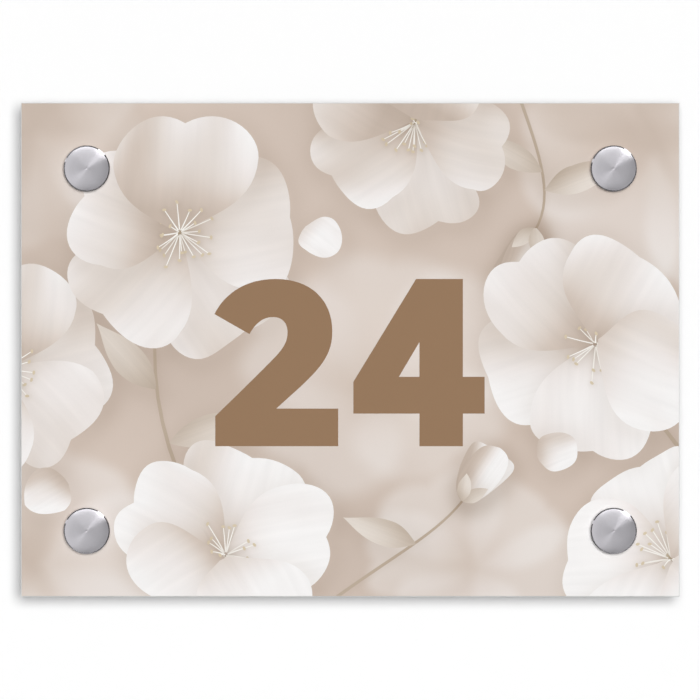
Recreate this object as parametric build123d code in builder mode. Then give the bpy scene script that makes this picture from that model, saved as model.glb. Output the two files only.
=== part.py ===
# Door number plate: a printed acrylic sheet held off the wall by four stand-off fixings.
# Frame: +X right, +Z up, the front faces -Y. The wall is the plane Y = 0, and the origin is the
# centre of the four fixings on it. Millimetres.

import os

from build123d import *

os.makedirs("parts", exist_ok=True)

# Plate
plate_width = 200.0
plate_height = 150.0
plate_thickness = 3.0
plate_edge_break = 0.2
fixing_inset = 20.0
plate_hole_clearance = 1.0

# Cap with its threaded stud
cap_diameter = 14.0
cap_thickness = 3.0
cap_chamfer = 0.5
stud_diameter = 8.0
stud_end_chamfer = 0.8
stud_end_gap = 4.0

# Plastic washers on both sides of the plate
washer_thickness = 0.5
washer_setback = 0.5
washer_hole_clearance = 0.3

# Barrel between the wall and the plate
barrel_length = 12.0
barrel_edge_break = 0.3
barrel_floor_web = 1.0
thread_clearance = 0.2

# Countersunk wall screws
screw_diameter = 3.0
screw_neck_diameter = 2.4
screw_length = 30.0
screw_tip_length = 4.0
screw_hole_clearance = 0.5
head_pass_clearance = 2.0
head_seat_clearance = 0.2
thread_start_gap = 0.3
recess_span = 2.8
recess_width = 0.8
recess_depth = 1.0

# Fixing pattern
spacing_x = plate_width - 2 * fixing_inset
spacing_z = plate_height - 2 * fixing_inset
fixings = {
    "upper_left": (-spacing_x / 2, spacing_z / 2),
    "upper_right": (spacing_x / 2, spacing_z / 2),
    "lower_left": (-spacing_x / 2, -spacing_z / 2),
    "lower_right": (spacing_x / 2, -spacing_z / 2),
}

# Radii of the turned pieces
cap_radius = cap_diameter / 2
stud_radius = stud_diameter / 2
bore_radius = (stud_diameter + thread_clearance) / 2
plate_hole_radius = (stud_diameter + plate_hole_clearance) / 2
washer_radius = cap_radius - washer_setback
washer_hole_radius = (stud_diameter + washer_hole_clearance) / 2
screw_radius = screw_diameter / 2
screw_neck_radius = screw_neck_diameter / 2
screw_hole_radius = (screw_diameter + screw_hole_clearance) / 2
head_radius = (stud_diameter - head_pass_clearance) / 2

# Distances out from the wall. The barrel's floor is a 90 degree cone, and the screw head, which
# drops through the barrel's thread, seats in it.
floor_cone_top = barrel_floor_web + bore_radius - screw_hole_radius
head_top = barrel_floor_web + head_radius + head_seat_clearance / 2 - screw_hole_radius
neck_top = head_top - head_radius + screw_neck_radius
screw_tip = head_top - screw_length
stud_end = floor_cone_top + stud_end_gap
plate_back = barrel_length + washer_thickness
plate_front = plate_back + plate_thickness
cap_back = plate_front + washer_thickness
cap_front = cap_back + cap_thickness


def facing_front(out_from_wall):
    """Plane parallel to the wall, seen from the front: X right, Y up, Z out from the wall."""
    return Plane(origin=(0, -out_from_wall, 0), x_dir=(1, 0, 0), z_dir=(0, -1, 0))


def turning_plane(x, z):
    """Half-section plane of a turned piece at a fixing: X is the radius, Y is out from the wall."""
    return Plane(origin=(x, 0, z), x_dir=(1, 0, 0), z_dir=(0, 0, -1))


def turning_axis(x, z):
    return Axis((x, 0, z), (0, -1, 0))


# Plate: one sheet with a fixing hole near each corner
with BuildPart() as plate:
    with BuildSketch(facing_front(plate_back)):
        Rectangle(plate_width, plate_height)
    extrude(amount=plate_thickness)
    chamfer(plate.faces().filter_by(Axis.Y).edges(), length=plate_edge_break)
    with BuildSketch(facing_front(plate_back)):
        with GridLocations(spacing_x, spacing_z, 2, 2):
            Circle(plate_hole_radius)
    extrude(amount=plate_thickness, mode=Mode.SUBTRACT)

plate.part.label = "plate"
export_step(plate.part, "parts/plate.step")


# Caps: a flat faced head with a polished chamfer, turned in one piece with the stud
for corner, (x, z) in fixings.items():
    with BuildPart() as cap:
        with BuildSketch(turning_plane(x, z)):
            with BuildLine():
                Polyline(
                    (0, stud_end),
                    (stud_radius - stud_end_chamfer, stud_end),
                    (stud_radius, stud_end + stud_end_chamfer),
                    (stud_radius, cap_back),
                    (cap_radius, cap_back),
                    (cap_radius, cap_front - cap_chamfer),
                    (cap_radius - cap_chamfer, cap_front),
                    (0, cap_front),
                    close=True,
                )
            make_face()
        revolve(axis=turning_axis(x, z))

    cap.part.label = f"cap_{corner}"
    export_step(cap.part, f"parts/cap_{corner}.step")


# Washers: four behind the caps and four in front of the barrels
for side, washer_back in {"front": plate_front, "rear": barrel_length}.items():
    with BuildPart() as washers:
        with BuildSketch(facing_front(washer_back)):
            with GridLocations(spacing_x, spacing_z, 2, 2):
                Circle(washer_radius)
                Circle(washer_hole_radius, mode=Mode.SUBTRACT)
        extrude(amount=washer_thickness)

    washers.part.label = f"{side}_washers"
    export_step(washers.part, f"parts/{side}_washers.step")


# Barrels: bored from the front for the stud, with a conical floor for the wall screw
for corner, (x, z) in fixings.items():
    with BuildPart() as barrel:
        with BuildSketch(turning_plane(x, z)):
            with BuildLine():
                Polyline(
                    (screw_hole_radius, 0),
                    (cap_radius, 0),
                    (cap_radius, barrel_length - barrel_edge_break),
                    (cap_radius - barrel_edge_break, barrel_length),
                    (bore_radius, barrel_length),
                    (bore_radius, floor_cone_top),
                    (screw_hole_radius, barrel_floor_web),
                    close=True,
                )
            make_face()
        revolve(axis=turning_axis(x, z))

    barrel.part.label = f"barrel_{corner}"
    export_step(barrel.part, f"parts/barrel_{corner}.step")


# Wall screws: four alike, with a cross recess in the head and the thread starting behind the wall plane
with BuildPart() as wall_screws:
    for x, z in fixings.values():
        with BuildSketch(turning_plane(x, z)):
            with BuildLine():
                Polyline(
                    (0, head_top),
                    (head_radius, head_top),
                    (screw_neck_radius, neck_top),
                    (screw_neck_radius, -thread_start_gap),
                    (screw_radius, -thread_start_gap),
                    (screw_radius, screw_tip + screw_tip_length),
                    (0, screw_tip),
                    close=True,
                )
            make_face()
        revolve(axis=turning_axis(x, z))
    with BuildSketch(facing_front(head_top)):
        with GridLocations(spacing_x, spacing_z, 2, 2):
            Rectangle(recess_span, recess_width)
            Rectangle(recess_width, recess_span)
    extrude(amount=-recess_depth, mode=Mode.SUBTRACT)

wall_screws.part.label = "wall_screws"
export_step(wall_screws.part, "parts/wall_screws.step")
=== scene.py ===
import math

import bmesh
import bpy
import numpy as np
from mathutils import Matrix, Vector
from mathutils.geometry import delaunay_2d_cdt


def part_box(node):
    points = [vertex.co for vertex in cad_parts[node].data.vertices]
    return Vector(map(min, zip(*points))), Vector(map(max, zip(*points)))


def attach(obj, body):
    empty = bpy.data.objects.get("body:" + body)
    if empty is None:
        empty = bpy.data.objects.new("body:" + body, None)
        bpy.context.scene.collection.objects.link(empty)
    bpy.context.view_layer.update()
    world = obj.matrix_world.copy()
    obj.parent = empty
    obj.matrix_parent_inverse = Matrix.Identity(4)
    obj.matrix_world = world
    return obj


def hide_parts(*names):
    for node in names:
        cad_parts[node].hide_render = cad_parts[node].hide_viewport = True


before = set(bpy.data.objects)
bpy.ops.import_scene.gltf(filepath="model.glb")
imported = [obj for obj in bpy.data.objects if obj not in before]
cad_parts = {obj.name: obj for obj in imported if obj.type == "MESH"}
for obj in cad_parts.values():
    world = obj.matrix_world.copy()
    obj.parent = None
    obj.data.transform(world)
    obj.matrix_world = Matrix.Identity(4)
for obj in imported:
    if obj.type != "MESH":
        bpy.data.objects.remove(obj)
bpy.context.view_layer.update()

# Door number plate: a printed acrylic sheet on four stand-off fixings. The wall is the plane Y = 0 and the
# print faces -Y. Objects are in metres; the print is drawn in millimetres from the middle of the plate.
MM = 0.001
CORNERS = ("upper_left", "upper_right", "lower_left", "lower_right")

# Plate, in millimetres
EDGE_BREAK = 0.2
EDGE_TOLERANCE = 0.001
HOLE_RADIUS = 4.5
HOLE_SIDES = 48
EDGE_POINT_SPACING = 1.6
PRINT_POINT_SPACING = 1.0
PRINT_POINT_SHAKE = 0.2
PRINT_POINT_SEED = 11
POINT_WELD = 0.001

# Wall screws, in millimetres and degrees
SCREW_RADIUS = 1.5
NECK_RADIUS = 1.2
THREAD_CORE_RADIUS = 1.05
THREAD_PITCH = 1.3
THREAD_ROWS_PER_TURN = 10
THREAD_RIDGE_SHARE = 0.3
THREAD_FADE = 1.5
THREAD_START = 0.3
SCREW_TIP_LENGTH = 4.0
SCREW_SHARP_ANGLE = 30
# In metres: points this near are joined, and edges this short are dropped
SCREW_WELD = 1e-6
SCREW_SHORTEST_EDGE = 1e-7

# Caps, in millimetres and degrees
CAP_CROWN = 0.32
CAP_ROLL = 0.16
CAP_ROLL_POWER = 9
CAP_FACE_RADIUS = 6.65
CAP_FACE_RINGS = 24
CAP_PIP_RADIUS = 0.3
CAP_PIP_DEPTH = 0.06
CAP_BACK_BREAK = 0.15
CAP_THICKNESS = 3.0
CAP_SHARP_ANGLE = 20
STUD_RADIUS = 4.0
STUD_END_CHAMFER = 0.8
TURNING_SIDES = 96

# Figures on the plate, in millimetres
FIGURE_HEIGHT = 50.8
FIGURES_LEFT = -41.0
FIGURES_BOTTOM = -29.3
FIGURE_GAP = 4.6

# Stage, in metres. A reflection doesn't see the wall from nearer than WALL_CONTACT.
WALL_GAP = 0.0002
WALL_REACH = 0.6
WALL_CONTACT = 0.003
FLOOR_LEVEL = -1.5
FLOOR_REACH = 1.5
FLOOR_START = -0.1

# Soft light from the sides, and along the plate's axis
SOFT_LIGHT = (0.05, 0.21)
# Studio that metal and plastic show: levels from its lower right to its upper left
STUDIO_AXIS = (-0.87, 0.0, 0.5)
STUDIO_MIDDLE = 0.5
STUDIO_LEVELS = {0.0: 0.85, 0.23: 0.2, 0.75: 1.45, 1.0: 1.35}
STUDIO_SIDE_POWER = 0.6
STUDIO_REAR_GAIN = 1.3
STUDIO_REAR_LEVEL = 0.5

# Suns: place, strength and width in degrees. The rear one has a twin on the left.
KEY_SUN = ((0.08, -1.0, 0.08), 2.56, 23)
REAR_SUN = ((0.9, 0.65, 0.5), 2.0, 25)
# Boxes: place, size and power
BOX_LIGHTS = {
    "main_box": ((2.95, -5.68, 3.30), (2.4, 2.4), 116.0),
    "top_box": ((-0.2, -4.9, 3.9), (6.5, 1.8), 112.0),
    "rim_box": ((3.0, -0.30, 3.7), (1.8, 1.8), 32.0),
    "left_rim_box": ((-4.5, -0.30, 1.9), (0.9, 0.9), 3.0),
    "rear_box": ((-2.5, 4.5, 3.0), (2.5, 2.5), 60.0),
    "rear_right_box": ((4.6, 3.4, 0.6), (2.0, 2.0), 60.0),
}

# Camera, from the plate's place in the photograph
IMAGE_SIZE = 700
PLATE_PIXELS = 658.5
PLATE_CENTRE_PIXEL = (350.25, 349.75)
LENS = 800.0
SENSOR = 36.0


# Materials

# Depth in metres of the rings on turned steel, and how a face at 45 degrees, the chamfer, is told apart
RING_DEPTH = 0.0000025
CHAMFER_SLANT = 0.707
CHAMFER_SLANT_RANGE = 0.2
POLISHED_ROUGHNESS = 0.08


def set_inputs(tree, node, inputs):
    """Set a node's inputs to values, or link them from sockets."""
    for key, value in inputs.items():
        if isinstance(value, bpy.types.NodeSocket):
            tree.links.new(value, node.inputs[key])
        else:
            node.inputs[key].default_value = value


def add_node(tree, kind, inputs=None, **settings):
    node = tree.nodes.new(kind)
    for name, value in settings.items():
        setattr(node, name, value)
    set_inputs(tree, node, inputs or {})
    return node


def maths(tree, operation, first, second=0.0):
    return add_node(tree, "ShaderNodeMath", {0: first, 1: second}, operation=operation).outputs["Value"]


def vector_maths(tree, operation, first, second=(0.0, 0.0, 0.0)):
    """Outputs of a vector maths node: Vector, or Value for a length or a dot product."""
    return add_node(tree, "ShaderNodeVectorMath", {0: first, 1: second}, operation=operation).outputs


def scaled(tree, vector, scale):
    """A vector or colour times a factor for each axis."""
    return vector_maths(tree, "MULTIPLY", vector, scale)["Vector"]


def axis_of(tree, vector, axis):
    return add_node(tree, "ShaderNodeSeparateXYZ", {"Vector": vector}).outputs[axis]


def spread(tree, value, low, high):
    """Map a value of 0 to 1 to low to high."""
    node = add_node(tree, "ShaderNodeMapRange", {"Value": value, "To Min": low, "To Max": high})
    return node.outputs["Result"]


def noise(tree, place, scale, detail):
    node = add_node(tree, "ShaderNodeTexNoise", {"Vector": place, "Scale": scale, "Detail": detail})
    return node.outputs["Fac"]


def bump(tree, height, distance, strength=1.0):
    """Normal of a surface raised by a height, with a distance in metres."""
    node = add_node(tree, "ShaderNodeBump", {"Height": height, "Distance": distance, "Strength": strength})
    return node.outputs["Normal"]


def between(tree, factor, first, second):
    node = add_node(tree, "ShaderNodeMix", {"Factor": factor, "A": (*first, 1), "B": (*second, 1)},
                    data_type="RGBA")
    return node.outputs["Result"]


def new_material(name):
    """Material with a bare Principled shader; gives its node tree, shader and texture coordinates."""
    material = bpy.data.materials.new(name)
    material.use_nodes = True
    tree = material.node_tree
    shader = tree.nodes["Principled BSDF"]
    coordinates = add_node(tree, "ShaderNodeTexCoord").outputs
    return material, tree, shader, coordinates


def print_material():
    """Ink on acrylic: the painted colours with faint petal veins, fine grain and a satin surface."""
    material, tree, shader, coordinates = new_material("printed_face")
    ink = add_node(tree, "ShaderNodeAttribute", attribute_name="ink", attribute_type="GEOMETRY")
    petal = add_node(tree, "ShaderNodeAttribute", attribute_name="petal", attribute_type="GEOMETRY")
    petal_place = petal.outputs["Vector"]
    on_petal = axis_of(tree, petal_place, "Z")
    veins = noise(tree, scaled(tree, petal_place, (7.0, 0.9, 0.0)), scale=1.0, detail=2.0)
    vein_shift = maths(tree, "MULTIPLY", spread(tree, veins, -0.06, 0.06), on_petal)
    grain = noise(tree, coordinates["Object"], scale=2600.0, detail=2.0)
    wash = noise(tree, coordinates["Object"], scale=55.0, detail=4.0)
    shift = maths(tree, "ADD", vein_shift, spread(tree, grain, 0.985, 1.015))
    shift = maths(tree, "ADD", shift, spread(tree, wash, -0.02, 0.02))
    set_inputs(tree, shader, {
        "Base Color": scaled(tree, ink.outputs["Color"], shift),
        "Roughness": spread(tree, wash, 0.42, 0.5),
        "Specular IOR Level": 0.25,
        "Normal": bump(tree, grain, distance=0.000004, strength=0.5),
    })
    return material


def acrylic_material():
    """White acrylic: milled edges with fine lines across them, and a smooth back."""
    material, tree, shader, coordinates = new_material("white_acrylic")
    place = coordinates["Object"]
    milling = noise(tree, scaled(tree, place, (2600.0, 60.0, 2600.0)), scale=1.0, detail=2.0)
    cloud = noise(tree, place, scale=40.0, detail=3.0)
    set_inputs(tree, shader, {
        "Base Color": between(tree, cloud, (0.80, 0.80, 0.79), (0.86, 0.86, 0.85)),
        "Roughness": spread(tree, milling, 0.12, 0.3),
        "IOR": 1.49,
        "Normal": bump(tree, milling, distance=0.00001, strength=0.4),
    })
    return material


def steel_material():
    """Turned stainless steel: fine rings round the axis of each piece and a polished chamfer."""
    material, tree, shader, coordinates = new_material("turned_steel")
    generated = coordinates["Generated"]
    centred = vector_maths(tree, "SUBTRACT", generated, (0.5, 0.5, 0.5))["Vector"]
    radius = vector_maths(tree, "LENGTH", scaled(tree, centred, (1.0, 0.0, 1.0)))["Value"]
    station = maths(tree, "ADD", radius, axis_of(tree, generated, "Y"))
    rings = add_node(tree, "ShaderNodeTexNoise",
                     {"W": station, "Scale": 110.0, "Detail": 3.0, "Roughness": 0.65},
                     noise_dimensions="1D").outputs["Fac"]
    streaks = noise(tree, centred, scale=5.0, detail=3.0)
    normal = add_node(tree, "ShaderNodeNewGeometry").outputs["True Normal"]
    slant = maths(tree, "ABSOLUTE", axis_of(tree, normal, "Y"))
    off_chamfer = maths(tree, "ABSOLUTE", maths(tree, "SUBTRACT", slant, CHAMFER_SLANT))
    chamfer = maths(tree, "LESS_THAN", off_chamfer, CHAMFER_SLANT_RANGE)
    turned = maths(tree, "SUBTRACT", 1.0, chamfer)
    ring_tone = spread(tree, rings, 0.44, 0.56)
    tone = maths(tree, "ADD", ring_tone, spread(tree, streaks, -0.03, 0.03))
    colour = add_node(tree, "ShaderNodeCombineColor", {
        "Red": tone,
        "Green": maths(tree, "MULTIPLY", tone, 0.975),
        "Blue": maths(tree, "MULTIPLY", tone, 1.03),
    })
    ring_roughness = maths(tree, "MULTIPLY", turned, spread(tree, rings, 0.19, 0.27))
    tangent = add_node(tree, "ShaderNodeTangent", direction_type="RADIAL", axis="Y")
    set_inputs(tree, shader, {
        "Base Color": colour.outputs["Color"],
        "Metallic": 1.0,
        "Roughness": maths(tree, "ADD", ring_roughness, POLISHED_ROUGHNESS),
        "Anisotropic": 0.85,
        "Anisotropic Rotation": 0.25,
        "Tangent": tangent.outputs["Tangent"],
        "Normal": bump(tree, maths(tree, "MULTIPLY", rings, turned), distance=RING_DEPTH),
    })
    return material


def washer_material():
    """Natural plastic, slightly cloudy and see-through."""
    material, tree, shader, coordinates = new_material("washer_plastic")
    cloud = noise(tree, coordinates["Object"], scale=300.0, detail=3.0)
    set_inputs(tree, shader, {
        "Base Color": between(tree, cloud, (0.78, 0.78, 0.75), (0.86, 0.86, 0.84)),
        "Roughness": spread(tree, cloud, 0.35, 0.5),
        "Transmission Weight": 0.35,
        "IOR": 1.53,
    })
    return material


def zinc_material():
    """Zinc plated steel with a faint bluish and yellowish cast."""
    material, tree, shader, coordinates = new_material("zinc_plate")
    cast = noise(tree, coordinates["Object"], scale=420.0, detail=4.0)
    grit = noise(tree, coordinates["Object"], scale=5000.0, detail=2.0)
    set_inputs(tree, shader, {
        "Base Color": between(tree, cast, (0.48, 0.50, 0.54), (0.60, 0.58, 0.50)),
        "Metallic": 1.0,
        "Roughness": spread(tree, cast, 0.24, 0.42),
        "Normal": bump(tree, grit, distance=0.000006, strength=0.4),
    })
    return material


# Print: soft white blossoms, buds and leaves on a beige ground, with a plain house number.
# Print coordinates are x right, z up and depth towards the viewer. Colours are sRGB from 0 to 255.

PRINT_LIGHT = np.array([-0.42, 0.52, 0.74])
PETAL_TONES = [(0.0, (197, 181, 168)), (0.3, (211, 197, 186)), (0.55, (226, 217, 210)),
               (0.78, (238, 232, 229)), (1.0, (247, 245, 244))]
LEAF_TONES = [(0.0, (186, 170, 154)), (0.5, (206, 193, 180)), (1.0, (228, 219, 210))]
GROUND = np.array([209, 193, 181]) / 255
FILAMENT = np.array([249, 246, 241]) / 255
ANTHER = np.array([214, 199, 172]) / 255
HEART = np.array([205, 192, 170]) / 255
STEM = np.array([187, 170, 152]) / 255
FIGURE = np.array([147, 117, 89]) / 255

# Shading of a petal: its level and gain, and how its base, midrib, rim and back differ.
# Reaches are in units of half the width or of the length.
SHADE_LEVEL = 0.052
SHADE_GAIN = 1.05
BASE_SHADE = 0.45
BASE_REACH = 0.34
MIDRIB_SHADE = 0.05
MIDRIB_REACH = 0.10
RIM_LIGHT = 0.07
RIM_START = 0.72
BACK_SHADE = 0.10

# Shade that shapes cast: its colour, its shift and end in units of its reach, and its strengths
SHADOW_TINT = np.array([0.846, 0.818, 0.789])
SHADOW_SHIFT = np.array([-0.25, 0.35])
SHADOW_END = 2.2
STAMEN_SHADOW = 0.10
HEART_SHADOW = 0.06
STEM_SHADOW = 0.10

# Points on each cubic curve of the outlines
PETAL_STEPS = 15
STEM_STEPS = 14
FIGURE_STEPS = 16

# Right sides of the outlines, from base to tip, in units of half the width and of the length
PETAL_SIDE = [(0.07, 0.0), (0.34, 0.14), (0.96, 0.28), (1.0, 0.62), (1.04, 0.92), (0.50, 1.06), (0.0, 0.94)]
TEPAL_SIDE = [(0.10, 0.0), (0.55, 0.12), (1.0, 0.26), (1.0, 0.52), (1.0, 0.80), (0.52, 0.97), (0.0, 1.0)]
LEAF_SIDE = [(0.02, 0.0), (0.5, 0.12), (1.0, 0.26), (1.0, 0.42), (1.0, 0.66), (0.30, 0.88), (0.0, 1.0)]

# How much outlines vary, how many ripples petals have, and where on the vein noise they may lie
OUTLINE_VARIETY = 0.05
RIPPLE_RANGE = (2.5, 4.5)
RIPPLE_SKEW = 2.0
VEIN_RANGE = (0, 40)

# Newton's method on a petal. The last five are in units of the length or of half the width.
NEWTON_STEPS = 12
SLOPE_STEP = 0.05
LEAST_AREA = 0.08
NEWTON_START = 0.55
NEWTON_MOVE = 0.25
ACROSS_LIMIT = 1.4
TIP_LIMIT = 1.15
BASE_LIMIT = -0.1
# Place along a petal whose depth sorts it among the others
SORT_PLACE = 0.62

# Stamens, in millimetres, and the dots round the middle of a heart
FILAMENT_WIDTHS = (0.42, 0.26)
ANTHER_SIZE = (1.35, 0.85)
HEART_DOTS = 6

# Petals of a bud: swing in degrees, share of the length and roll. Then the swing of its small leaves.
BUD_PETALS = ((-13, 0.96, 0.5), (14, 0.94, -0.5), (0, 1.0, 0.0))
BUD_LEAVES = (-30, 26)

# Figures in units of their height, from the lower left corner
TWO = [(0.0, 0.0), (0.25, 0.0), (0.5, 0.0), (0.735, 0.0),
       (0.735, 0.075), (0.735, 0.15), (0.735, 0.225),
       (0.61, 0.225), (0.49, 0.225), (0.365, 0.225),
       (0.43, 0.285), (0.50, 0.345), (0.545, 0.39),
       (0.645, 0.487), (0.700, 0.565), (0.700, 0.685),
       (0.700, 0.88), (0.565, 1.0), (0.360, 1.0),
       (0.190, 1.0), (0.060, 0.92), (-0.005, 0.790),
       (0.065, 0.75), (0.135, 0.71), (0.205, 0.670),
       (0.240, 0.735), (0.285, 0.772), (0.345, 0.772),
       (0.400, 0.772), (0.432, 0.738), (0.432, 0.680),
       (0.432, 0.62), (0.400, 0.575), (0.340, 0.515),
       (0.227, 0.40), (0.113, 0.29), (0.0, 0.180),
       (0.0, 0.12), (0.0, 0.06), (0.0, 0.0)]
FOUR = [(0.375, 1.0), (0.655, 1.0), (0.655, 0.415), (0.785, 0.415), (0.785, 0.195), (0.655, 0.195),
        (0.655, 0.0), (0.395, 0.0), (0.395, 0.195), (0.0, 0.195), (0.0, 0.385)]
FOUR_COUNTER = [(0.272, 0.415), (0.395, 0.415), (0.395, 0.622)]

# Stems: points of a cubic curve, width at its start and at its end
STEMS = [
    ([(100, -30), (94, -22), (86, -12), (78, -2)], 1.3, 0.8),
    ([(-30, -75), (-58, -40), (-66, -4), (-54, 30)], 1.4, 0.8),
    ([(52, 75), (58, 58), (62, 46), (56, 36)], 1.0, 0.7),
    ([(-4, -75), (14, -62), (26, -56), (34, -46)], 1.0, 0.7),
]
# Leaves and buds: x, z, heading, length, seed
LEAVES = [
    (-59, -12, 132, 28, 31),
    (-54.9, -28.4, 20, 26, 32),
    (59, 48.4, 20, 26, 33),
    (90, -18, 200, 28, 34),
    (20, -59, 160, 24, 35),
    (58.3, 54, 150, 22, 36),
]
BUDS = [
    (56, 37, 250, 22, 41),
    (34, -46, 55, 21, 42),
]
# Blossoms, from back to front: x, z, size, turn, lean, lean_to, opening, seed
BLOSSOMS = [
    (-106, -6, 34, 20, 24, 10, 0.75, 3),
    (20, 70, 33, 70, 34, 250, 0.70, 5),
    (-52, 36, 38, 12, 14, 300, 0.85, 2),
    (98, -64, 35, 40, 28, 140, 0.72, 8),
    (75, 2, 36, 55, 18, 215, 0.80, 4),
    (-38, -63, 35, 5, 26, 75, 0.78, 6),
]
# Hazy blossoms behind them, with their strength and blur
HAZY_BLOSSOMS = [
    ((8, -14, 44, 15, 30, 90, 0.7, 21), 0.30, 4.0),
    ((92, 60, 42, 30, 36, 230, 0.7, 22), 0.45, 2.5),
    ((-96, 66, 36, 60, 30, 300, 0.7, 23), 0.50, 2.5),
    ((-94, -66, 40, 0, 34, 50, 0.7, 24), 0.42, 3.0),
    ((38, -66, 34, 44, 35, 100, 0.8, 25), 0.36, 2.5),
]
# Loose petals: x, z, heading, length, lean, lean_to, seed
LOOSE_PETALS = [
    (-86, -40, 210, 17, 25, 40, 51),
    (57, -33, 20, 14, 20, 200, 52),
    (-14, 37, 320, 15, 30, 120, 53),
]

# Keeps divisors off zero
TINY = 1e-9


def curve(points, steps):
    """Points on a chain of cubic curves, without the last: a start, then two handles and an end for each."""
    points = np.asarray(points, float)
    at = np.linspace(0, 1, steps, endpoint=False)[:, None]
    rest = 1 - at
    runs = []
    for first in range(0, len(points) - 1, 3):
        a, b, c, d = points[first:first + 4]
        runs.append(rest ** 3 * a + 3 * rest ** 2 * at * b + 3 * rest * at ** 2 * c + at ** 3 * d)
    return np.concatenate(runs)


def smooth(low, high, value):
    """Smooth step from 0 at low to 1 at high."""
    at = np.clip((value - low) / (high - low), 0, 1)
    return at * at * (3 - 2 * at)


def tone_colours(light, tones):
    """Colours of a scale of tones at levels of light."""
    stops = [stop for stop, _ in tones]
    colours = np.array([colour for _, colour in tones]) / 255
    return np.stack([np.interp(light, stops, colours[:, channel]) for channel in range(3)], axis=1)


def inside(points, rings):
    """Whether each point is inside an outline with holes, by counting crossings."""
    odd = np.zeros(len(points), bool)
    x, z = points[:, :1], points[:, 1:]
    for ring in rings:
        end = np.roll(ring, -1, axis=0)
        spans = (ring[:, 1] > z) != (end[:, 1] > z)
        rise = np.where(end[:, 1] == ring[:, 1], TINY, end[:, 1] - ring[:, 1])
        crossing = ring[:, 0] + (z - ring[:, 1]) * (end[:, 0] - ring[:, 0]) / rise
        odd ^= (np.count_nonzero(spans & (x < crossing), axis=1) % 2).astype(bool)
    return odd


def edge_distance(points, ring):
    """Distance from each point to the nearest stretch of an outline."""
    along = np.roll(ring, -1, axis=0) - ring
    length2 = np.maximum((along ** 2).sum(axis=1), TINY)
    offset = points[:, None, :] - ring[None]
    at = np.clip((offset * along).sum(axis=2) / length2, 0, 1)
    return np.sqrt(((offset - at[:, :, None] * along) ** 2).sum(axis=2).min(axis=1))


def near(points, ring, margin):
    """Whether each point is in the box round an outline, or within a margin of it."""
    low, high = ring.min(axis=0) - margin, ring.max(axis=0) + margin
    return np.all((points > low) & (points < high), axis=1)


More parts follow.
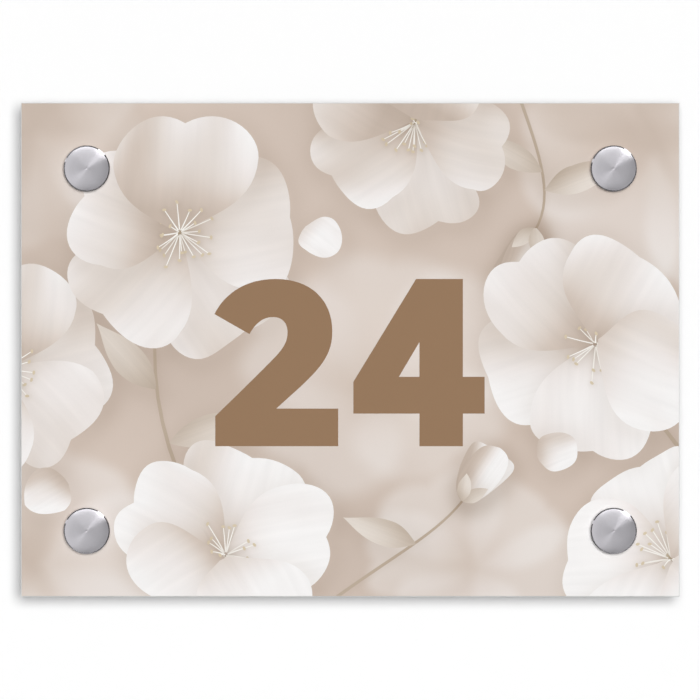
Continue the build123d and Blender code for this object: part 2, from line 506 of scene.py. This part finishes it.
class Petal:
    """A petal or leaf: a flat outline bent in space, seen from the front."""
    shadow = 0.2
    shadow_reach = 4.0

    def __init__(self, centre, axes, rng, *, length, width, rise, fall, cup, wave, side, tones):
        self.centre, self.axes = np.asarray(centre, float), axes
        self.length, self.width = length, width
        self.rise, self.fall, self.cup = rise, fall, cup
        self.wave, self.tones = wave, tones
        self.ripples = rng.uniform(*RIPPLE_RANGE)
        self.phase = rng.uniform(0, 2 * math.pi)
        self.vein_offset = rng.uniform(*VEIN_RANGE)
        right, left = np.array(side), np.array(side)
        for half in (right, left):
            half[1:-1] *= rng.normal(1, OUTLINE_VARIETY, (len(side) - 2, 2))
        way_back = curve(left[::-1], PETAL_STEPS)[1:] * (-1, 1)
        outline = np.concatenate([curve(right, PETAL_STEPS), [side[-1]], way_back])
        self.rings = [self.bend(outline * (width, length))[:, :2]]
        self.depth = self.bend(np.array([[0, SORT_PLACE * length]]))[0, 2]

    def bend(self, flat):
        """Places in print coordinates of points on the flat petal: across, and along from its base."""
        s, t = flat[:, 0] / self.width, flat[:, 1] / self.length
        pitch = self.rise + (self.fall - self.rise) * t
        bend_rate = (self.fall - self.rise) / self.length
        out = (np.sin(pitch) - math.sin(self.rise)) / bend_rate
        up = (math.cos(self.rise) - np.cos(pitch)) / bend_rate
        ripple = self.wave * t ** 2 * s * np.sin(self.ripples * s + self.phase + RIPPLE_SKEW * t)
        lift = self.width * (self.cup * s ** 2 + ripple)
        own = np.stack([out - np.sin(pitch) * lift, flat[:, 0], up + np.cos(pitch) * lift], axis=1)
        spatial = own @ self.axes
        spatial[:, :2] += self.centre
        return spatial

    def slopes(self, flat):
        """Change of place across and along the petal."""
        step_across, step_along = (SLOPE_STEP, 0), (0, SLOPE_STEP)
        across = (self.bend(flat + step_across) - self.bend(flat - step_across)) / (2 * SLOPE_STEP)
        along = (self.bend(flat + step_along) - self.bend(flat - step_along)) / (2 * SLOPE_STEP)
        return across, along

    def flatten(self, points):
        """Where seen points lie on the flat petal, by Newton's method."""
        flat = np.tile([0.0, NEWTON_START * self.length], (len(points), 1))
        least = (-ACROSS_LIMIT * self.width, BASE_LIMIT * self.length)
        most = (ACROSS_LIMIT * self.width, TIP_LIMIT * self.length)
        longest = NEWTON_MOVE * self.length
        for _ in range(NEWTON_STEPS):
            across, along = self.slopes(flat)
            miss = points - self.bend(flat)[:, :2]
            area = across[:, 0] * along[:, 1] - across[:, 1] * along[:, 0]
            least_area = np.where(area < 0, -LEAST_AREA, LEAST_AREA)
            area = np.where(np.abs(area) < LEAST_AREA, least_area, area)
            move = np.stack([miss[:, 0] * along[:, 1] - miss[:, 1] * along[:, 0],
                             across[:, 0] * miss[:, 1] - across[:, 1] * miss[:, 0]], axis=1) / area[:, None]
            flat += np.clip(move, -longest, longest)
            flat = np.clip(flat, least, most)
        return flat

    def paint(self, points):
        """Colours at seen points, and where on the petal each lies for the veins."""
        flat = self.flatten(points)
        s, t = flat[:, 0] / self.width, flat[:, 1] / self.length
        across, along = self.slopes(flat)
        normal = np.cross(along, across)
        normal /= np.maximum(np.linalg.norm(normal, axis=1, keepdims=True), TINY)
        back = normal[:, 2] < 0
        normal[back] *= -1
        light = SHADE_LEVEL + SHADE_GAIN * (normal @ PRINT_LIGHT)
        light -= BASE_SHADE * np.exp(-(t / BASE_REACH) ** 2)
        light -= MIDRIB_SHADE * np.exp(-(s / MIDRIB_REACH) ** 2) * (1 - t)
        light += RIM_LIGHT * smooth(RIM_START, 1.0, np.maximum(np.abs(s), t))
        light -= BACK_SHADE * back
        veins = np.stack([s + self.vein_offset, t, np.ones(len(t))], axis=1)
        return tone_colours(np.clip(light, 0, 1), self.tones), veins


class Mark:
    """A flat patch of one colour: part of a stamen or stem, or a figure."""
    shadow_reach = 0.8

    def __init__(self, rings, colour, depth=0.0, shadow=0.0):
        self.rings, self.colour, self.depth, self.shadow = rings, colour, depth, shadow

    def paint(self, points):
        """One colour at all points, with no veins."""
        return np.tile(self.colour, (len(points), 1)), np.zeros((len(points), 3))


def ribbon(path, start_width, end_width):
    """Outline of a thin stroke along a path."""
    along = np.gradient(path, axis=0)
    along /= np.linalg.norm(along, axis=1, keepdims=True)
    side = np.stack([-along[:, 1], along[:, 0]], axis=1)
    half = np.linspace(start_width, end_width, len(path))[:, None] / 2
    return np.concatenate([path + side * half, (path - side * half)[::-1]])


def ellipse(centre, length, width, turn, count=10):
    """Outline of an ellipse, turned from the x axis."""
    at = np.linspace(0, 2 * math.pi, count, endpoint=False)
    flat = np.stack([length / 2 * np.cos(at), width / 2 * np.sin(at)], axis=1)
    c, s = math.cos(turn), math.sin(turn)
    return flat @ np.array([[c, s], [-s, c]]) + centre


def flower_axes(lean, lean_to):
    """Rows: a flower's own three axes in print coordinates, its axis leaning from the viewer."""
    c, s = math.cos(lean_to), math.sin(lean_to)
    swing = np.array([[c, -s, 0], [s, c, 0], [0, 0, 1]])
    c, s = math.cos(lean), math.sin(lean)
    tip = np.array([[c, 0, s], [0, 1, 0], [-s, 0, c]])
    return (swing @ tip @ swing.T).T


def petal_axes(axes, azimuth):
    """Rows: the axes of a petal that points to an azimuth round a flower's axis."""
    c, s = math.cos(azimuth), math.sin(azimuth)
    return np.array([[c, s, 0], [-s, c, 0], [0, 0, 1]]) @ axes


def stamen(centre, axes, size, azimuth, rng):
    """Filament and anther of one stamen."""
    lean_out = math.radians(rng.uniform(28, 62))
    reach = size * rng.uniform(0.22, 0.36)
    at = np.linspace(0.12, 1, 6)
    out = reach * at * math.sin(lean_out) * (0.75 + 0.25 * at)
    up = reach * at * math.cos(lean_out) + 0.04 * size
    spatial = np.stack([out * math.cos(azimuth), out * math.sin(azimuth), up], axis=1) @ axes
    path = spatial[:, :2] + centre
    depth = spatial[-1, 2] + 0.02 * size
    heading = math.atan2(*(path[-1] - path[-2])[::-1]) + rng.uniform(0.6, 2.2)
    filament = Mark([ribbon(path, *FILAMENT_WIDTHS)], FILAMENT, depth, STAMEN_SHADOW)
    anther = Mark([ellipse(path[-1], *ANTHER_SIZE, heading)], ANTHER, depth + 0.01, STAMEN_SHADOW)
    return [filament, anther]


def heart(x, z, axes, size):
    """A ring of dots round one more, in the middle of a blossom."""
    middle = np.array([0, 0, 0.06 * size]) @ axes
    dot, depth = 0.05 * size, middle[2] + 0.05 * size
    dots = []
    for i in range(HEART_DOTS + 1):
        azimuth = 2 * math.pi * i / HEART_DOTS
        step = 0.028 * size * (i < HEART_DOTS)
        place = middle[:2] + (x + step * math.cos(azimuth), z + step * math.sin(azimuth))
        dots.append(Mark([ellipse(place, dot, dot, 0)], HEART, depth, HEART_SHADOW))
    return dots


def blossom(x, z, size, turn, lean, lean_to, opening, seed, petals=5, stamens=24):
    """Petals, stamens and heart of one blossom, from the farthest to the nearest."""
    rng = np.random.default_rng(seed)
    axes = flower_axes(math.radians(lean), math.radians(lean_to))
    closed = 1 - opening
    shapes = []
    for i in range(petals):
        azimuth = math.radians(turn) + 2 * math.pi * (i + rng.uniform(-0.09, 0.09)) / petals
        petal = Petal((x, z), petal_axes(axes, azimuth), rng,
                      length=size * rng.uniform(0.92, 1.06),
                      width=size * rng.uniform(0.48, 0.57),
                      rise=math.radians(18 + 62 * closed + rng.uniform(-5, 5)),
                      fall=math.radians(-16 + 58 * closed + rng.uniform(-9, 9)),
                      cup=rng.uniform(0.10, 0.30) * (0.6 + closed),
                      wave=rng.uniform(0.08, 0.20),
                      side=PETAL_SIDE, tones=PETAL_TONES)
        petal.depth += rng.uniform(-0.05, 0.05) * size
        shapes.append(petal)
    for i in range(stamens):
        azimuth = 2 * math.pi * (i + rng.uniform(-0.4, 0.4)) / stamens
        shapes += stamen((x, z), axes, size, azimuth, rng)
    shapes += heart(x, z, axes, size)
    return sorted(shapes, key=lambda shape: shape.depth)


def leaf(x, z, heading, length, seed, width_share=0.17):
    """A narrow leaf from its base at x and z."""
    rng = np.random.default_rng(seed)
    axes = petal_axes(np.eye(3), math.radians(heading))
    return Petal((x, z), axes, rng, length=length, width=length * width_share,
                 rise=math.radians(rng.uniform(8, 25)), fall=math.radians(rng.uniform(-30, -10)),
                 cup=rng.uniform(0.15, 0.5), wave=0.05, side=LEAF_SIDE, tones=LEAF_TONES)


def loose_petal(x, z, heading, length, lean, lean_to, seed):
    """A fallen petal, leaning from the viewer."""
    rng = np.random.default_rng(seed)
    axes = petal_axes(flower_axes(math.radians(lean), math.radians(lean_to)), math.radians(heading))
    return Petal((x, z), axes, rng, length=length, width=length * 0.42,
                 rise=math.radians(28), fall=math.radians(-24), cup=0.35, wave=0.10,
                 side=TEPAL_SIDE, tones=PETAL_TONES)


def bud(x, z, heading, length, seed):
    """Three folded petals with a pair of small leaves at their base."""
    rng = np.random.default_rng(seed)
    shapes = []
    for swing, share, roll in BUD_PETALS:
        lean_to = math.radians(heading + 90 * np.sign(roll))
        axes = petal_axes(flower_axes(0.5 * abs(roll), lean_to), math.radians(heading + swing))
        shapes.append(Petal((x, z), axes, rng, length=length * share, width=length * 0.27,
                            rise=math.radians(24), fall=math.radians(-38), cup=0.75, wave=0.03,
                            side=TEPAL_SIDE, tones=PETAL_TONES))
    for swing in BUD_LEAVES:
        leaf_seed = seed + 7 + swing
        shapes.append(leaf(x, z, heading + swing, 0.42 * length, leaf_seed, width_share=0.24))
    return shapes


def stem(points, start_width, end_width):
    """A tapering stem along a cubic curve."""
    path = np.concatenate([curve(points, STEM_STEPS), points[-1:]])
    return Mark([ribbon(path, start_width, end_width)], STEM, shadow=STEM_SHADOW)


def figures():
    """The house number, in plain heavy figures."""
    two = curve(TWO, FIGURE_STEPS) * FIGURE_HEIGHT + (FIGURES_LEFT, FIGURES_BOTTOM)
    start = np.array([two[:, 0].max() + FIGURE_GAP, FIGURES_BOTTOM])
    four = [np.array(ring) * FIGURE_HEIGHT + start for ring in (FOUR, FOUR_COUNTER)]
    return [Mark([two], FIGURE), Mark(four, FIGURE)]


def print_shapes():
    """Everything crisp in the print, from back to front."""
    shapes = [stem(*row) for row in STEMS] + [leaf(*row) for row in LEAVES]
    for row in BUDS:
        shapes += bud(*row)
    for row in BLOSSOMS:
        shapes += blossom(*row)
    return shapes + [loose_petal(*row) for row in LOOSE_PETALS] + figures()


def paint_ground(points):
    """The beige ground with its slow changes of tone and the hazy blossoms in it."""
    x, z = points[:, 0], points[:, 1]
    tone = 0.016 * np.sin(x / 31 + 0.6) * np.cos(z / 27 - 0.4) + 0.012 * np.sin((x + z) / 19 + 1.1)
    colour = GROUND + tone[:, None] * (1.0, 1.04, 1.08)
    for row, strength, blur in HAZY_BLOSSOMS:
        for petal in blossom(*row, stamens=0):
            ring = petal.rings[0]
            here = near(points, ring, blur)
            if not isinstance(petal, Petal) or not here.any():
                continue
            spot = points[here]
            signed = edge_distance(spot, ring) * np.where(inside(spot, [ring]), 1, -1)
            cover = strength * smooth(-blur, blur, signed)[:, None]
            colour[here] = colour[here] * (1 - cover) + petal.paint(spot)[0] * cover
    return colour


def cast_shadows(points, colour, above):
    """Soft shade that the shapes lying above cast on painted points."""
    for shape in above:
        if not shape.shadow:
            continue
        ring, reach = shape.rings[0], shape.shadow_reach
        shifted = points + SHADOW_SHIFT * reach
        here = near(shifted, ring, SHADOW_END * reach)
        if not here.any():
            continue
        spot = shifted[here]
        clear = np.where(inside(spot, [ring]), 0, edge_distance(spot, ring))
        depth = shape.shadow * np.exp(-(clear / reach) ** 2)[:, None]
        colour[here] *= 1 - depth * (1 - SHADOW_TINT)
    return colour


def linear(colour):
    """Linear levels of an sRGB colour of 0 to 1."""
    return np.where(colour <= 0.04045, colour / 12.92, ((colour + 0.055) / 1.055) ** 2.4)


def paint_triangles(places, triangles, shapes):
    """Linear colour and vein place at every corner of the print's triangles."""
    middles = places[triangles].mean(axis=1)
    top = np.full(len(triangles), -1)
    for index, shape in enumerate(shapes):
        here = np.nonzero(near(middles, shape.rings[0], 0))[0]
        top[here[inside(middles[here], shape.rings)]] = index
    ink = np.ones((len(triangles), 3, 3))
    veins = np.zeros((len(triangles), 3, 3))
    for index in np.unique(top):
        mine = top == index
        used, corner = np.unique(triangles[mine], return_inverse=True)
        corner = corner.reshape(-1, 3)
        points = places[used]
        if index < 0:
            colour, vein = paint_ground(points), np.zeros((len(points), 3))
        else:
            colour, vein = shapes[index].paint(points)
        colour = cast_shadows(points, colour, shapes[index + 1:])
        ink[mine] = linear(np.clip(colour, 0, 1))[corner]
        veins[mine] = vein[corner]
    return ink.reshape(-1, 3), veins.reshape(-1, 3)


# Pieces

def place_piece(mesh, node):
    """Put a mesh in the scene as a piece, in the place of its CAD node."""
    piece = bpy.data.objects.new(mesh.name, mesh)
    bpy.context.collection.objects.link(piece)
    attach(piece, "root")
    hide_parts(node)


def finish_turned(build, name, material, node, sharp_angle):
    """Smooth a turned mesh between its sharp edges and put it in the place of its CAD node."""
    bmesh.ops.recalc_face_normals(build, faces=build.faces)
    mesh = bpy.data.meshes.new(name)
    build.to_mesh(mesh)
    build.free()
    mesh.polygons.foreach_set("use_smooth", [True] * len(mesh.polygons))
    mesh.set_sharp_from_angle(angle=math.radians(sharp_angle))
    mesh.materials.append(material)
    place_piece(mesh, node)


def dress(node, material):
    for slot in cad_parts[node].material_slots:
        slot.material = material


# Plate

def closed_edges(first, count):
    return [(first + i, first + (i + 1) % count) for i in range(count)]


def plate_rings(half, holes):
    """Outline of the printed face and the rims of its holes, with points close enough for the print."""
    corners = half * np.array([(-1, -1), (1, -1), (1, 1), (-1, 1)])
    outline = []
    for start, end in zip(corners, np.roll(corners, -1, axis=0)):
        count = round(np.abs(end - start).sum() / EDGE_POINT_SPACING)
        outline.append(start + (end - start) * np.linspace(0, 1, count, endpoint=False)[:, None])
    rims = [ellipse(hole, 2 * HOLE_RADIUS, 2 * HOLE_RADIUS, 0, HOLE_SIDES) for hole in holes]
    return [np.concatenate(outline)] + rims


def filler_points(half, spacing):
    """Points of a slightly shaken triangular grid over the plate, clear of its edge."""
    rng = np.random.default_rng(PRINT_POINT_SEED)
    half_x, half_z = half
    row_step = spacing * math.sqrt(3) / 2
    rows = []
    for row, z in enumerate(np.arange(-half_z + spacing, half_z - spacing / 2, row_step)):
        x = np.arange(-half_x + spacing * (1 + 0.5 * (row % 2)), half_x - spacing / 2, spacing)
        rows.append(np.stack([x, np.full(len(x), z)], axis=1))
    points = np.concatenate(rows)
    return points + rng.uniform(-PRINT_POINT_SHAKE, PRINT_POINT_SHAKE, points.shape) * spacing


def triangulate(places, edges):
    """Triangles between points that keep to the edges; gives places and triangles."""
    flat = [Vector(place) for place in places]
    verts, _, faces, _, _, _ = delaunay_2d_cdt(flat, edges, [], 0, POINT_WELD, False)
    return np.array([tuple(vert) for vert in verts]), np.array(faces)


def on_plate(places, triangles, rings):
    """Triangles that lie on the sheet and not in a hole or off its edge."""
    middles = places[triangles].mean(axis=1)
    return triangles[inside(middles, rings)]


def border_edges(triangles):
    """Directed edges that belong to one triangle only."""
    edges = {}
    for a, b, c in triangles:
        for edge in ((a, b), (b, c), (c, a)):
            if edge[::-1] in edges:
                del edges[edge[::-1]]
            else:
                edges[edge] = True
    return list(edges)


def hole_centres():
    """Middles of the plate's holes, behind the caps, in print coordinates."""
    centres = []
    for corner in CORNERS:
        low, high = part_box(f"cap_{corner}")
        centres.append(((low.x + high.x) / 2 / MM, (low.z + high.z) / 2 / MM))
    return centres


def printed_face(half, rings):
    """Places and triangles of the front face, and the ink and vein place at each of their corners."""
    shapes = print_shapes()
    outlines = rings + [ring for shape in shapes for ring in shape.rings]
    edges = []
    first = 0
    for ring in outlines:
        edges += closed_edges(first, len(ring))
        first += len(ring)
    points = np.concatenate(outlines + [filler_points(half, PRINT_POINT_SPACING)])
    places, triangles = triangulate(points, edges)
    front = on_plate(places, triangles, rings)
    ink, veins = paint_triangles(places, front, shapes)
    used, front = np.unique(front, return_inverse=True)
    return places[used], front.reshape(-1, 3), ink, veins


def close_sheet(places, front, rings, outer, half, front_y, back_y):
    """Vertices and faces of the whole sheet: the front, then its edges and hole walls, then the back."""
    verts = [(x * MM, front_y, z * MM) for x, z in places]
    faces = [tuple(face) for face in front]
    border = border_edges(front)
    on_edge = (np.abs(places) > half - EDGE_TOLERANCE).any(axis=1)
    levels = {}
    for index in sorted({index for edge in border for index in edge}):
        x, z = places[index] * MM
        wide_x, wide_z = places[index] * (outer / half) * MM
        walls = [(x, back_y, z)]
        if on_edge[index]:
            walls = [(wide_x, front_y + EDGE_BREAK * MM, wide_z),
                     (wide_x, back_y - EDGE_BREAK * MM, wide_z)] + walls
        levels[index] = [index] + list(range(len(verts), len(verts) + len(walls)))
        verts += walls
    for a, b in border:
        for step in range(len(levels[a]) - 1):
            faces.append((levels[a][step], levels[a][step + 1], levels[b][step + 1], levels[b][step]))

    back_index = np.array(sorted(levels))
    renumber = {old: new for new, old in enumerate(back_index)}
    back_edges = [(renumber[a], renumber[b]) for a, b in border]
    _, back = triangulate(places[back_index], back_edges)
    for face in on_plate(places[back_index], back, rings):
        faces.append(tuple(levels[back_index[corner]][-1] for corner in reversed(face)))
    return verts, faces


def make_plate():
    """The acrylic sheet, with the print as colours at the corners of its front face's triangles."""
    low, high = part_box("plate")
    outer = np.array([high.x - low.x, high.z - low.z]) / 2 / MM
    half = outer - EDGE_BREAK
    rings = plate_rings(half, hole_centres())
    places, front, ink, veins = printed_face(half, rings)
    verts, faces = close_sheet(places, front, rings, outer, half, low.y, high.y)
    mesh = bpy.data.meshes.new("printed_plate")
    mesh.from_pydata(verts, [], faces)
    mesh.materials.append(print_material())
    mesh.materials.append(acrylic_material())
    mesh.polygons.foreach_set("material_index", [0] * len(front) + [1] * (len(faces) - len(front)))
    colours = np.ones((len(mesh.loops), 4), np.float32)
    colours[:len(ink), :3] = ink
    mesh.attributes.new("ink", "FLOAT_COLOR", "CORNER").data.foreach_set("color", colours.ravel())
    vein_places = np.zeros((len(mesh.loops), 3), np.float32)
    vein_places[:len(veins)] = veins
    mesh.attributes.new("petal", "FLOAT_VECTOR", "CORNER").data.foreach_set("vector", vein_places.ravel())
    place_piece(mesh, "plate")


# Caps

def cap_profile(high_y, low_y, radius):
    """Section of a cap with its stud, from the middle of its face to the end of the stud: radius and y."""
    profile = [(0.0, low_y + CAP_PIP_DEPTH), (CAP_PIP_RADIUS / 2, low_y + CAP_PIP_DEPTH / 2)]
    for r in np.linspace(CAP_PIP_RADIUS, CAP_FACE_RADIUS, CAP_FACE_RINGS):
        share = r / CAP_FACE_RADIUS
        profile.append((r, low_y + CAP_CROWN * share ** 2 + CAP_ROLL * share ** CAP_ROLL_POWER))
    chamfer_y = profile[-1][1] + radius - CAP_FACE_RADIUS
    back_y = low_y + CAP_THICKNESS
    profile += [
        (radius, chamfer_y),
        (radius, back_y - CAP_BACK_BREAK),
        (radius - CAP_BACK_BREAK, back_y),
        (STUD_RADIUS, back_y),
        (STUD_RADIUS, high_y - STUD_END_CHAMFER),
        (STUD_RADIUS - STUD_END_CHAMFER, high_y),
        (0.0, high_y),
    ]
    return profile


def make_cap(corner, material):
    """A turned cap with a slightly crowned face and a polished chamfer, in one piece with its stud."""
    low, high = (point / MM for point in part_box(f"cap_{corner}"))
    x, z, radius = (low.x + high.x) / 2, (low.z + high.z) / 2, (high.x - low.x) / 2
    build = bmesh.new()
    rows = []
    for r, y in cap_profile(high.y, low.y, radius):
        angles = [2 * math.pi * i / TURNING_SIDES for i in range(TURNING_SIDES if r else 1)]
        rows.append([build.verts.new(((x + r * math.cos(a)) * MM, y * MM, (z + r * math.sin(a)) * MM))
                     for a in angles])
    for front, back in zip(rows, rows[1:]):
        for i in range(TURNING_SIDES):
            ring = [front[i % len(front)], front[(i + 1) % len(front)],
                    back[(i + 1) % len(back)], back[i % len(back)]]
            build.faces.new(dict.fromkeys(ring))
    finish_turned(build, f"turned_cap_{corner}", material, f"cap_{corner}", CAP_SHARP_ANGLE)


# Wall screws

def thread_radius(y, phase, tip):
    """Radius of the cut shank at a depth behind the wall plane, in millimetres."""
    from_start = y - THREAD_START
    core = NECK_RADIUS + (THREAD_CORE_RADIUS - NECK_RADIUS) * min(1, 2 * from_start / THREAD_FADE)
    ridge = max(0, 1 - abs(phase % 1 - 0.5) / THREAD_RIDGE_SHARE) * min(1, from_start / THREAD_FADE)
    taper = min(1, (tip - y) / SCREW_TIP_LENGTH)
    return (core + (SCREW_RADIUS - core) * ridge) * taper


def cut_thread(build, rim, tip):
    """Helical rows of faces from the rim of a screw's neck to its tip."""
    centre = sum((vert.co for vert in rim), Vector()) / len(rim)
    angles = sorted((math.atan2(vert.co.z - centre.z, vert.co.x - centre.x) for vert in rim), reverse=True)
    columns = len(angles)
    row_step = THREAD_PITCH / THREAD_ROWS_PER_TURN
    rows = math.ceil((tip - THREAD_START) / row_step) + THREAD_ROWS_PER_TURN
    verts = []
    for row in range(-THREAD_ROWS_PER_TURN, rows + 1):
        for angle in angles:
            turned = (angles[0] - angle) / (2 * math.pi)
            y = min(max(THREAD_START + row * row_step + turned * THREAD_PITCH, THREAD_START), tip)
            radius = thread_radius(y, row / THREAD_ROWS_PER_TURN, tip) * MM
            verts.append(build.verts.new((centre.x + radius * math.cos(angle), y * MM,
                                          centre.z + radius * math.sin(angle))))
    for start in range(len(verts) - columns * (THREAD_ROWS_PER_TURN + 1)):
        beside = start + 1
        if beside % columns == 0:
            beside += columns * (THREAD_ROWS_PER_TURN - 1)
        build.faces.new((verts[start], verts[beside], verts[beside + columns], verts[start + columns]))


def make_screws():
    """The CAD screws' heads and necks, with a cut thread in place of the plain shank."""
    _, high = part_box("wall_screws")
    shank_start = THREAD_START * MM - SCREW_WELD
    build = bmesh.new()
    build.from_mesh(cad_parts["wall_screws"].data)
    bmesh.ops.remove_doubles(build, verts=build.verts, dist=SCREW_WELD)
    shank = [face for face in build.faces if face.calc_center_median().y > shank_start]
    bmesh.ops.delete(build, geom=shank, context="FACES")
    rims = {}
    for vert in build.verts:
        if vert.is_boundary:
            rims.setdefault((vert.co.x > 0, vert.co.z > 0), []).append(vert)
    for rim in rims.values():
        cut_thread(build, rim, high.y / MM)
    bmesh.ops.remove_doubles(build, verts=build.verts, dist=SCREW_WELD)
    bmesh.ops.dissolve_degenerate(build, dist=SCREW_SHORTEST_EDGE, edges=build.edges)
    finish_turned(build, "threaded_screws", zinc_material(), "wall_screws", SCREW_SHARP_ANGLE)


# Stage, light and camera

def wall_material():
    """White paint, seen only from its front, by the camera and in reflections and clear plastic."""
    material, tree, shader, _ = new_material("wall_paint")
    tree.nodes.remove(shader)
    rays = add_node(tree, "ShaderNodeLightPath").outputs
    off_contact = maths(tree, "GREATER_THAN", rays["Ray Length"], WALL_CONTACT)
    mirrored = maths(tree, "MULTIPLY", rays["Is Glossy Ray"], off_contact)
    seen = maths(tree, "MAXIMUM", rays["Is Camera Ray"], rays["Is Transmission Ray"])
    seen = maths(tree, "MAXIMUM", seen, mirrored)
    back = add_node(tree, "ShaderNodeNewGeometry").outputs["Backfacing"]
    shown = maths(tree, "MULTIPLY", seen, maths(tree, "SUBTRACT", 1.0, back))
    paint = add_node(tree, "ShaderNodeBsdfDiffuse", {"Color": (0.97, 0.97, 0.97, 1)})
    glow = add_node(tree, "ShaderNodeEmission", {"Color": (1, 1, 1, 1), "Strength": 0.05})
    lit = add_node(tree, "ShaderNodeAddShader", {0: paint.outputs["BSDF"], 1: glow.outputs["Emission"]})
    clear = add_node(tree, "ShaderNodeBsdfTransparent")
    surface = add_node(tree, "ShaderNodeMixShader",
                       {0: shown, 1: clear.outputs["BSDF"], 2: lit.outputs["Shader"]})
    set_inputs(tree, tree.nodes["Material Output"], {"Surface": surface.outputs["Shader"]})
    return material


def floor_material():
    material, tree, shader, _ = new_material("floor_paint")
    set_inputs(tree, shader, {
        "Base Color": (0.95, 0.95, 0.95, 1),
        "Roughness": 0.8,
    })
    return material


def add_sheet(name, corners, material):
    """A flat sheet that belongs to the stage."""
    mesh = bpy.data.meshes.new(name)
    mesh.from_pydata(corners, [], [(0, 1, 2, 3)])
    mesh.materials.append(material)
    sheet = bpy.data.objects.new(name, mesh)
    bpy.context.collection.objects.link(sheet)


def make_stage():
    """A white wall behind the plate and a pale floor below."""
    add_sheet("wall", [(-WALL_REACH, WALL_GAP, FLOOR_LEVEL), (WALL_REACH, WALL_GAP, FLOOR_LEVEL),
                       (WALL_REACH, WALL_GAP, WALL_REACH), (-WALL_REACH, WALL_GAP, WALL_REACH)],
              wall_material())
    add_sheet("floor", [(-FLOOR_REACH, -FLOOR_REACH, FLOOR_LEVEL), (FLOOR_REACH, -FLOOR_REACH, FLOOR_LEVEL),
                        (FLOOR_REACH, FLOOR_START, FLOOR_LEVEL), (-FLOOR_REACH, FLOOR_START, FLOOR_LEVEL)],
              floor_material())


def make_world():
    """Soft light, strongest along the plate's axis. The camera sees white, and metal and clear plastic see a
    studio that is dark at the sides and shaded across."""
    world = bpy.data.worlds.new("studio")
    bpy.context.scene.world = world
    world.use_nodes = True
    tree = world.node_tree
    direction = add_node(tree, "ShaderNodeTexCoord").outputs["Generated"]
    behind = axis_of(tree, direction, "Y")
    soft = spread(tree, maths(tree, "ABSOLUTE", behind), *SOFT_LIGHT)
    front_depth = maths(tree, "MULTIPLY", behind, -1.0)
    depth = maths(tree, "MAXIMUM", front_depth, maths(tree, "MULTIPLY", behind, STUDIO_REAR_GAIN))
    aside = vector_maths(tree, "DOT_PRODUCT", direction, STUDIO_AXIS)["Value"]
    ramp = add_node(tree, "ShaderNodeValToRGB", {"Fac": maths(tree, "ADD", aside, STUDIO_MIDDLE)})
    stops = ramp.color_ramp.elements
    for _ in range(len(STUDIO_LEVELS) - len(stops)):
        stops.new(0.5)
    for stop, (place, level) in zip(stops, STUDIO_LEVELS.items()):
        stop.position = place
        stop.color = (level, level, level, 1)
    rear = maths(tree, "MULTIPLY", behind, STUDIO_REAR_LEVEL)
    across = maths(tree, "MAXIMUM", ramp.outputs["Color"], rear)
    studio = maths(tree, "MULTIPLY", maths(tree, "POWER", depth, STUDIO_SIDE_POWER), across)
    rays = add_node(tree, "ShaderNodeLightPath").outputs
    seen = maths(tree, "MAXIMUM", rays["Is Glossy Ray"], rays["Is Transmission Ray"])
    lit = add_node(tree, "ShaderNodeMix", {"Factor": seen, "A": soft, "B": studio})
    strength = maths(tree, "MAXIMUM", lit.outputs["Result"], rays["Is Camera Ray"])
    set_inputs(tree, tree.nodes["Background"], {"Color": (1, 1, 1, 1), "Strength": strength})


def add_light(name, kind, place, energy):
    """A lamp that points at the origin and that the camera doesn't see."""
    light = bpy.data.lights.new(name, kind)
    light.energy = energy
    lamp = bpy.data.objects.new(name, light)
    lamp.location = place
    lamp.rotation_euler = (-lamp.location).to_track_quat("-Z", "Y").to_euler()
    lamp.visible_camera = False
    bpy.context.collection.objects.link(lamp)
    return lamp


def add_sun(name, place, strength, width):
    """A soft sun that reflections don't show."""
    sun = add_light(name, "SUN", place, strength)
    sun.data.angle = math.radians(width)
    sun.visible_glossy = False
    return sun


def make_lights():
    """A soft key from the front, fills from behind that light only what is seen before a diffuse bounce, and
    boxes that only metal and plastic show."""
    add_sun("key", *KEY_SUN)
    (x, y, z), strength, width = REAR_SUN
    for name, side in (("rear_left", -1.0), ("rear_right", 1.0)):
        fill = add_sun(name, (x * side, y, z), strength, width)
        fill.data.use_nodes = True
        tree = fill.data.node_tree
        bounces = add_node(tree, "ShaderNodeLightPath").outputs["Diffuse Depth"]
        set_inputs(tree, tree.nodes["Emission"], {"Strength": maths(tree, "LESS_THAN", bounces, 0.5)})
    for name, (place, size, power) in BOX_LIGHTS.items():
        box = add_light(name, "AREA", place, power)
        box.data.shape = "RECTANGLE"
        box.data.size, box.data.size_y = size
        box.visible_diffuse = False


def make_camera():
    """Straight on, at the distance that gives the plate its width in the photograph."""
    low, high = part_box("plate")
    field = (high.x - low.x) * IMAGE_SIZE / PLATE_PIXELS
    pixel = field / IMAGE_SIZE
    data = bpy.data.cameras.new("camera")
    data.lens, data.sensor_width = LENS, SENSOR
    camera = bpy.data.objects.new("camera", data)
    camera.location = ((IMAGE_SIZE / 2 - PLATE_CENTRE_PIXEL[0]) * pixel, low.y - field * LENS / SENSOR,
                       (PLATE_CENTRE_PIXEL[1] - IMAGE_SIZE / 2) * pixel)
    camera.rotation_euler = (math.pi / 2, 0, 0)
    bpy.context.collection.objects.link(camera)
    bpy.context.scene.camera = camera


make_plate()
make_screws()
steel = steel_material()
washer = washer_material()
for corner in CORNERS:
    make_cap(corner, steel)
    dress(f"barrel_{corner}", steel)
dress("front_washers", washer)
dress("rear_washers", washer)

make_stage()
make_world()
make_lights()
make_camera()
bpy.context.scene.view_settings.view_transform = "Standard"
